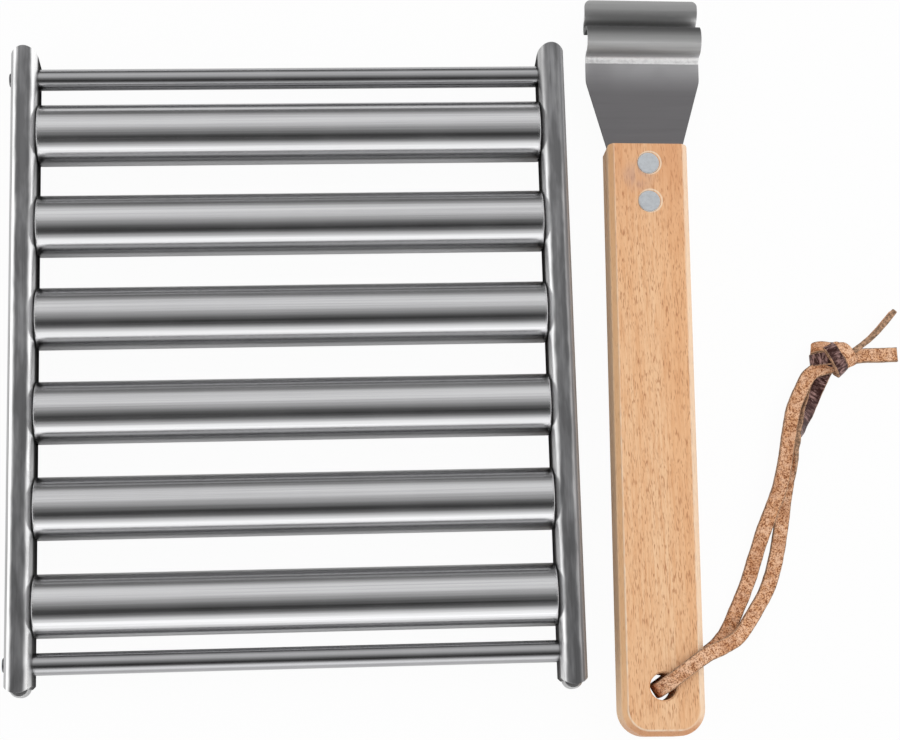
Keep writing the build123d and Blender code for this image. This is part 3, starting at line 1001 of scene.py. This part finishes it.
def beech_colour(tree, grip, along, fine, marks):
    """Pale bands and fine darker lines with flecks, warmer towards the plate."""
    bands = grain_noise(tree, BEECH_BANDS, 3.0, 0.55, HANDLE_TURN)
    ground = mix_colours(tree, remap(tree, bands, 0.35, 0.66), opaque(grip.wood_colour),
                         opaque(grip.pale_colour))
    lined = mix_colours(tree, remap(tree, fine, 0.42, 0.66, 0.0, 0.7), ground,
                        tinted(grip.wood_colour, (0.86, 0.76, 0.68)))
    flecked = mix_colours(tree, marks, lined, opaque(grip.fleck_colour))
    warm = combine(tree, "MULTIPLY", remap(tree, along, *WARM_FADE, 0.5, 0.0),
                   remap(tree, bands, 0.35, 0.6, 1.0, 0.35))
    return mix_colours(tree, warm, flecked, opaque(grip.warm_colour))


def add_edges(tree, grip, wood, across, along, outside):
    """Lays painted light over the wood: bevels and side walls paler, a painted highlight on the lit side, and
    the end grain darker with painted shade.
    """
    lit = remap(tree, across, *LIT_SIDE_FADE)
    edges = mix_colours(tree, lit, opaque(grip.side_colour), opaque(grip.pale_highlight_colour))
    walls = remap(tree, outside, *GRIP_WALL_FADE)
    edges = mix_colours(tree, walls, edges, opaque(grip.wall_colour))
    edges = mix_colours(tree, remap(tree, along, *END_GRAIN_AND_SHADE_FADE), edges, opaque(grip.end_grain_and_shade_colour))
    on_bevel = remap(tree, outside, *BEVEL_FADE)
    covered = combine(tree, "MULTIPLY", on_bevel, remap(tree, walls, 0.0, 1.0, 0.65, 0.5))
    return mix_colours(tree, covered, wood, edges)


def highlight_share(tree, across, along, outside, gaps):
    """How far painted highlight pales the wood: in patches along its ridges, and in a ring round each rivet.
    """
    rivets = [spot_distance(tree, across, along, place) for place in RIVET_RINGS]
    ring = combine(tree, "SUBTRACT", combine(tree, "MINIMUM", *rivets), RIVET_RING_RADIUS)
    ring = remap(tree, absolute(tree, ring), *RING_FADE, 0.8, 0.0)
    toned = combine(tree, "MULTIPLY", remap(tree, gaps, 0.35, 0.6, 0.4, 1.0),
                   remap(tree, along, *RIDGE_HIGHLIGHT_FADE, 0.45, 0.9))
    ridge = absolute(tree, combine(tree, "ADD", outside, GRIP_BEVEL))
    ridge = combine(tree, "MULTIPLY", remap(tree, ridge, *RIDGE_FADE, 1.0, 0.0), toned)
    return combine(tree, "MAXIMUM", ridge, ring)


def beech_material(grip):
    """Oiled beech: soft bands, short dark flecks, painted highlight on its edges and round its rivets, and a
    stain by the front rivet.
    """
    material, tree, shader = new_material("grip beech")
    across, along = grip_place(tree)
    outside = outline_distance(tree, across, along)
    fine = grain_noise(tree, BEECH_LINES, 3.0, 0.65, HANDLE_TURN)
    fleck_counts = (FLECKS_ACROSS, 1 / grip.fleck_length, FLECKS_ACROSS)
    flecks = grain_noise(tree, fleck_counts, 1.0, 0.4, HANDLE_TURN)
    gaps = grain_noise(tree, BEECH_GAPS, 1.0, 0.5, HANDLE_TURN)
    marks = combine(tree, "MULTIPLY", remap(tree, flecks, 0.54, 0.67),
                    remap(tree, gaps, 0.36, 0.58, 0.2, 0.8))
    wood = beech_colour(tree, grip, along, fine, marks)
    stain = spot_distance(tree, across, along, STAIN_PLACE)
    stain = combine(tree, "MULTIPLY", remap(tree, stain, *STAIN_FADE, 0.6, 0.0, "SMOOTHSTEP"),
                    remap(tree, gaps, 0.35, 0.6, 0.3, 1.0))
    wood = mix_colours(tree, stain, wood, opaque(grip.stain_colour))
    # Painted light on the bevels, walls and lit side, painted shade on the end grain
    wood = add_edges(tree, grip, wood, across, along, outside)
    # Painted highlight: pale ridges and rings round the rivets
    highlight = highlight_share(tree, across, along, outside, gaps)
    set_inputs(tree, shader, {
        "Base Color": mix_colours(tree, highlight, wood, opaque(grip.pale_highlight_colour)),
        "Roughness": 0.5,
        "Specular IOR Level": 0.4,
        "Normal": bump(tree, combine(tree, "SUBTRACT", fine, marks), 0.06 * MM),
    })
    return material


def plate_material(steel):
    """Satin sheet, painted paler next to its bends as painted light, with painted shading along its hook and
    a mottled painted highlight along the crease at the foot of the hump.
    """
    material, tree, shader = new_material("plate steel")
    along = object_axes(tree, HANDLE_TURN)["Y"]
    lines = grain_noise(tree, PLATE_LINES, turn=HANDLE_TURN)
    patches = even_noise(tree, 45.0)
    mottle = even_noise(tree, 750.0, 2.0, 0.6)
    # Painted light: the plate paler next to its bends
    front = combine(tree, "POWER", remap(tree, along, *PLATE_FADE), 1.6)
    sheet = mix_colours(tree, front, opaque(steel.plate_colour), opaque(steel.lit_front_colour))
    shaded = tinted(steel.plate_colour, 0.9)
    sheet = mix_colours(tree, remap(tree, patches, 0.45, 0.7, 0.0, 0.45), sheet, shaded)
    sheet = mix_colours(tree, remap(tree, lines, 0.35, 0.65, 0.12, 0.0), sheet, shaded)
    # Painted shading of the hook: highlight on the hump, shade in the valley
    bent = remap(tree, along, *HOOK_START)
    sheet = mix_colours(tree, bent, sheet, level_ramp(tree, along, HOOK_SHADING_LEVELS, MM))
    # Painted highlight: a white, hardly metallic, mottled strip along the crease
    crease = combine(tree, "MULTIPLY", remap(tree, along, *CREASE_START),
                     remap(tree, along, *CREASE_END, 1.0, 0.0))
    crease = combine(tree, "MULTIPLY", crease, remap(tree, mottle, 0.36, 0.56, 0.7, 1.0))
    rough = remap(tree, lines, 0.3, 0.7, steel.plate_roughness * 0.9, steel.plate_roughness * 1.1)
    set_inputs(tree, shader, {
        "Base Color": mix_colours(tree, crease, sheet, opaque(steel.crease_highlight_colour)),
        "Metallic": remap(tree, crease, 0.0, 1.0, 1.0, 0.1),
        "Roughness": combine(tree, "ADD", rough, combine(tree, "MULTIPLY", bent, 0.14)),
        "Normal": bump(tree, combine(tree, "MULTIPLY", mottle, crease), 0.05 * MM),
    })
    return material


class FinishHandle(bpy.types.Operator):
    """Gives the grip its beech, the hook plate its steel and the rivets their aluminium"""

    bl_idname = "roller_rack.finish_handle"
    bl_label = "Handle"

    def execute(self, context):
        steel = context.scene.rack_steel
        finish_nodes(["handle_grip"], beech_material(context.scene.rack_grip))
        finish_nodes(["hook_plate"], plate_material(steel))
        rivet = brushed_steel("rivet aluminium", steel.rivet_colour, 0.38, RIVET_MARKS, mottle=0.3)
        finish_nodes(RIVETS, rivet)
        return {"FINISHED"}


# Studio


class PlaceCamera(bpy.types.Operator):
    """Puts the camera where the rack is seen from above"""

    bl_idname = "roller_rack.place_camera"
    bl_label = "Camera"

    def execute(self, context):
        studio = context.scene.rack_studio
        data = bpy.data.cameras.new("camera")
        data.lens = studio.focal_pixels / PICTURE_WIDTH * data.sensor_width
        data.clip_start = 0.01
        camera = bpy.data.objects.new("camera", data)
        turn = Matrix.Identity(4)
        for angle, axis in zip(studio.camera_turn, "XYZ"):
            turn = turn @ Matrix.Rotation(angle, 4, axis)
        camera.matrix_world = Matrix.Translation(studio.camera_place) @ turn
        context.scene.collection.objects.link(camera)
        context.scene.camera = camera
        return {"FINISHED"}


def build_world(studio):
    """Plain white light for matt surfaces, white behind everything, and soft bands for steel to mirror."""
    world = bpy.data.worlds.new("studio")
    world.use_nodes = True
    tree = world.node_tree
    tree.nodes.clear()
    way = add_node(tree, "ShaderNodeTexCoord").outputs["Generated"]
    way = add_node(tree, "ShaderNodeSeparateXYZ", {"Vector": way}).outputs
    back = combine(tree, "MULTIPLY", way["Y"], -1.0)
    sideways = absolute(tree, way["X"])
    forward = level_ramp(tree, combine(tree, "ARCTAN2", back, way["Z"]), STUDIO_BANDS, DEGREE)
    beside = level_ramp(tree, combine(tree, "ARCTAN2", sideways, way["Z"]), SIDE_BANDS, DEGREE)
    mirrored = mix_colours(tree, remap(tree, sideways, *SIDE_FADE), forward, beside)
    path = add_node(tree, "ShaderNodeLightPath").outputs
    sky = opaque([studio.sky_level] * 3)
    seen = mix_colours(tree, path["Is Glossy Ray"], sky, mirrored)
    shown = mix_colours(tree, path["Is Camera Ray"], seen, WHITE)
    background = add_node(tree, "ShaderNodeBackground", {"Color": shown, "Strength": 1.0})
    add_node(tree, "ShaderNodeOutputWorld", {"Surface": background.outputs["Background"]})
    bpy.context.scene.world = world


def floor_material(studio):
    """White floor that shows as background, also in metal where it isn't shaded, and keeps a light shadow."""
    material, tree, shader = new_material("studio floor")
    set_inputs(tree, shader, {
        "Base Color": opaque(studio.floor_colour),
        "Roughness": 0.9,
        "Specular IOR Level": 0.1,
    })
    glow = add_node(tree, "ShaderNodeEmission", {"Color": WHITE, "Strength": 1.0})
    path = add_node(tree, "ShaderNodeLightPath").outputs
    shade = add_node(tree, "ShaderNodeAmbientOcclusion", {"Distance": FLOOR_SHADE_REACH}, samples=6)
    open_floor = remap(tree, shade.outputs["AO"], 0.45, 0.8)
    mirrored = combine(tree, "MULTIPLY", path["Is Glossy Ray"], open_floor)
    direct = combine(tree, "MAXIMUM", path["Is Camera Ray"], path["Is Transmission Ray"])
    seen = combine(tree, "MULTIPLY", combine(tree, "MAXIMUM", direct, mirrored), studio.background_share)
    surfaces = {"Fac": seen, 1: shader.outputs["BSDF"], 2: glow.outputs["Emission"]}
    mixer = add_node(tree, "ShaderNodeMixShader", surfaces)
    set_inputs(tree, tree.nodes["Material Output"], {"Surface": mixer.outputs["Shader"]})
    return material


def add_lamp(studio):
    """Hangs the soft lamp, which shines towards the origin and isn't mirrored in the steel."""
    light = bpy.data.lights.new("soft lamp", "AREA")
    light.shape = "SQUARE"
    light.size = studio.lamp_size
    light.energy = studio.lamp_power
    lamp = bpy.data.objects.new("soft lamp", light)
    turn = studio.lamp_place.to_track_quat("Z", "Y").to_matrix().to_4x4()
    lamp.matrix_world = Matrix.Translation(studio.lamp_place) @ turn
    lamp.visible_glossy = False
    bpy.context.scene.collection.objects.link(lamp)


class BuildStudio(bpy.types.Operator):
    """Lays the pale floor and sets the soft light"""

    bl_idname = "roller_rack.build_studio"
    bl_label = "Floor and light"

    def execute(self, context):
        studio = context.scene.rack_studio
        mesh = bmesh.new()
        bmesh.ops.create_grid(mesh, x_segments=1, y_segments=1, size=studio.floor_size / 2)
        floor = finish_mesh("floor", mesh)
        floor.data.materials.append(floor_material(studio))
        build_world(studio)
        add_lamp(studio)
        context.scene.view_settings.view_transform = "Standard"
        return {"FINISHED"}


# Add-on


STEPS = (PlaceCamera, TieKnot, MakeThong, FinishRollers, FinishFrame, FinishHandle, BuildStudio)
SETTINGS = {
    "rack_steel": SteelFinish,
    "rack_grip": GripFinish,
    "rack_thong": ThongSizes,
    "rack_studio": StudioSettings,
}


class RackPanel(bpy.types.Panel):
    """Lists the steps in the order in which they are run"""

    bl_idname = "VIEW3D_PT_roller_rack"
    bl_label = "Roller Rack"
    bl_space_type = "VIEW_3D"
    bl_region_type = "UI"
    bl_category = "Roller Rack"

    def draw(self, context):
        for step in STEPS:
            self.layout.operator(step.bl_idname)


def register():
    for group in (*SETTINGS.values(), *STEPS, RackPanel):
        bpy.utils.register_class(group)
    for name, group in SETTINGS.items():
        setattr(bpy.types.Scene, name, bpy.props.PointerProperty(type=group))


def unregister():
    for name in SETTINGS:
        delattr(bpy.types.Scene, name)
    for group in (*SETTINGS.values(), *STEPS, RackPanel):
        bpy.utils.unregister_class(group)


def main():
    register()
    for step in STEPS:
        family, action = step.bl_idname.split(".")
        getattr(getattr(bpy.ops, family), action)()


if __name__ == "__main__":
    main()
